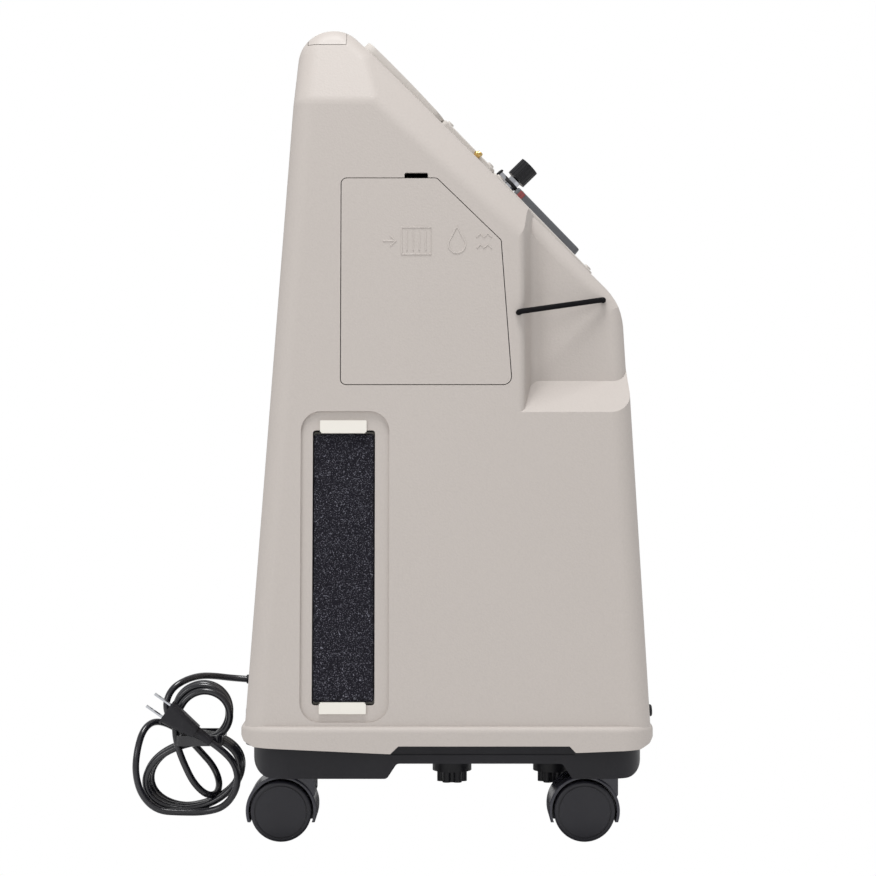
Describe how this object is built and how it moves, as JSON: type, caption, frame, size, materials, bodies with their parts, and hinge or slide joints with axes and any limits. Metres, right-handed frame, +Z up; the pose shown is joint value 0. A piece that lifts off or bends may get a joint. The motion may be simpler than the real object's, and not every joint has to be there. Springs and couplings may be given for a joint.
{
  "type": "oxygen concentrator",
  "caption": "Wheeled home oxygen concentrator with a sloping control face, side filter pockets, an access door, a bottle recess and a bundled power cord.",
  "frame": {"origin": "on the floor, under the middle of the machine without its cord", "axes": "+Z up; +X towards the sloping control side (front); -Y towards the side with the access door and the bottle recess"},
  "size_m": [0.4446, 0.466, 0.67],
  "materials": {
    "cabinet_shell": "fine pebbled moulded ABS, warm grey-beige",
    "base_black": "satin black moulded plastic",
    "caster_black": "semi-gloss black nylon",
    "foam_black": "open-cell reticulated foam",
    "ivory_plastic": "ivory moulded plastic",
    "cord_black": "glossy black PVC",
    "strap_black": "braided elastic",
    "brass": "turned brass",
    "chrome": "polished",
    "knob_black": "fluted black phenolic",
    "bezel_grey": "dark grey moulded plastic",
    "clear_acrylic": "clear acrylic",
    "zinc_steel": "zinc plated",
    "aluminium": "cast and machined",
    "filled_canister": null,
    "white_plastic": "white moulded plastic",
    "panel_beige": "smooth light beige ABS",
    "board_green": "solder-masked board",
    "painted_steel": "painted pressed steel",
    "hose_clear": "silicone hose",
    "float_steel": "steel ball",
    "lens_amber": "moulded indicator lenses"
  },
  "bodies": {
    "cabinet": {"base_pan": "base_black", "bottle_strap": "strap_black", "breaker_body": "bezel_grey", "cabinet": "cabinet_shell", "cabinet_screws": "base_black", "carry_handle": "cabinet_shell", "circuit_board": "board_green", "compressor_body": "painted_steel", "compressor_heads": "aluminium", "control_panel": "panel_beige", "cord_bundle": "cord_black", "cord_lead": "cord_black", "cord_tie": "cord_black", "exhaust_muffler": "white_plastic", "fan_shroud": "bezel_grey", "filter_compartment": "white_plastic", "flow_valve": "chrome", "flowmeter_block": "clear_acrylic", "front_cover": "panel_beige", "heat_exchanger": "aluminium", "hoses": "hose_clear", "hour_meter": "bezel_grey", "humidifier_adapter": "white_plastic", "indicator_lenses": "lens_amber", "inlet_filter": "white_plastic", "instrument_bezel": "bezel_grey", "internal_chassis": "zinc_steel", "isolator_springs": "zinc_steel", "outlet_panel": "panel_beige", "oxygen_outlet": "brass", "panel_screws": "chrome", "plug_blades": "chrome", "plug_body": "cord_black", "pressure_regulator": "white_plastic", "product_tank": "filled_canister", "run_capacitor": "filled_canister", "shipping_knobs": "base_black", "sieve_beds": "filled_canister", "solenoid_coils": "bezel_grey", "strain_relief": "cord_black", "switch_frame": "knob_black", "valve_manifold": "aluminium"},
    "flow_knob": {"flow_knob": "knob_black"},
    "flow_float": {"flowmeter_float": "float_steel"},
    "power_rocker": {"power_rocker": "knob_black"},
    "breaker_button": {"breaker_button": "white_plastic"},
    "access_door": {"access_door": "cabinet_shell"},
    "filter_right": {"filter_frame_right": "ivory_plastic", "filter_foam_right": "foam_black"},
    "filter_left": {"filter_frame_left": "ivory_plastic", "filter_foam_left": "foam_black"},
    "fan_rotor": {"fan_rotor": "bezel_grey"},
    "caster_rear_right": {"caster_hood_rear_right": "caster_black"},
    "wheels_rear_right": {"caster_wheels_rear_right": "caster_black"},
    "caster_front_right": {"caster_hood_front_right": "caster_black"},
    "wheels_front_right": {"caster_wheels_front_right": "caster_black"},
    "caster_rear_left": {"caster_hood_rear_left": "caster_black"},
    "wheels_rear_left": {"caster_wheels_rear_left": "caster_black"},
    "caster_front_left": {"caster_hood_front_left": "caster_black"},
    "wheels_front_left": {"caster_wheels_front_left": "caster_black"}
  },
  "joints": [
    {"name": "flow_knob_turn", "type": "hinge", "parent": "cabinet", "child": "flow_knob", "pos_m": [0.06115, -0.095, 0.55538], "axis": [0.7169, 0, 0.6972], "range_deg": [0, 1080]},
    {"name": "flow_float_rise", "type": "slide", "parent": "cabinet", "child": "flow_float", "axis": [-0.6972, 0, 0.7169], "range_m": [0, 0.04]},
    {"name": "power_rocker_tilt", "type": "hinge", "parent": "cabinet", "child": "power_rocker", "pos_m": [0.08283, -0.018, 0.50728], "axis": [0, 1, 0], "range_deg": [0, 12]},
    {"name": "breaker_button_push", "type": "slide", "parent": "cabinet", "child": "breaker_button", "axis": [-0.7169, 0, -0.6972], "range_m": [0, 0.003], "stiffness_N_per_m": 900},
    {"name": "access_door_tilt", "type": "hinge", "parent": "cabinet", "child": "access_door", "pos_m": [0, -0.20653, 0.3728], "axis": [1, 0, 0], "range_deg": [0, 80]},
    {"name": "filter_right_slide", "type": "slide", "parent": "cabinet", "child": "filter_right", "axis": [0, -0.9969, 0.0785], "range_m": [0, 0.035]},
    {"name": "filter_left_slide", "type": "slide", "parent": "cabinet", "child": "filter_left", "axis": [0, 0.9969, 0.0785], "range_m": [0, 0.035]},
    {"name": "fan_spin", "type": "hinge", "parent": "cabinet", "child": "fan_rotor", "pos_m": [-0.035, 0, 0.256], "axis": [0, 0, 1], "continuous": true},
    {"name": "caster_rear_right_swivel", "type": "hinge", "parent": "cabinet", "child": "caster_rear_right", "pos_m": [-0.119, -0.163, 0.06], "axis": [0, 0, 1], "continuous": true},
    {"name": "wheels_rear_right_roll", "type": "hinge", "parent": "caster_rear_right", "child": "wheels_rear_right", "pos_m": [-0.1372, -0.163, 0.025], "axis": [0, 1, 0], "continuous": true},
    {"name": "caster_front_right_swivel", "type": "hinge", "parent": "cabinet", "child": "caster_front_right", "pos_m": [0.1291, -0.163, 0.06], "axis": [0, 0, 1], "continuous": true},
    {"name": "wheels_front_right_roll", "type": "hinge", "parent": "caster_front_right", "child": "wheels_front_right", "pos_m": [0.1109, -0.163, 0.025], "axis": [0, 1, 0], "continuous": true},
    {"name": "caster_rear_left_swivel", "type": "hinge", "parent": "cabinet", "child": "caster_rear_left", "pos_m": [-0.119, 0.163, 0.06], "axis": [0, 0, 1], "continuous": true},
    {"name": "wheels_rear_left_roll", "type": "hinge", "parent": "caster_rear_left", "child": "wheels_rear_left", "pos_m": [-0.1372, 0.163, 0.025], "axis": [0, 1, 0], "continuous": true},
    {"name": "caster_front_left_swivel", "type": "hinge", "parent": "cabinet", "child": "caster_front_left", "pos_m": [0.1291, 0.163, 0.06], "axis": [0, 0, 1], "continuous": true},
    {"name": "wheels_front_left_roll", "type": "hinge", "parent": "caster_front_left", "child": "wheels_front_left", "pos_m": [0.1109, 0.163, 0.025], "axis": [0, 1, 0], "continuous": true}
  ]
}
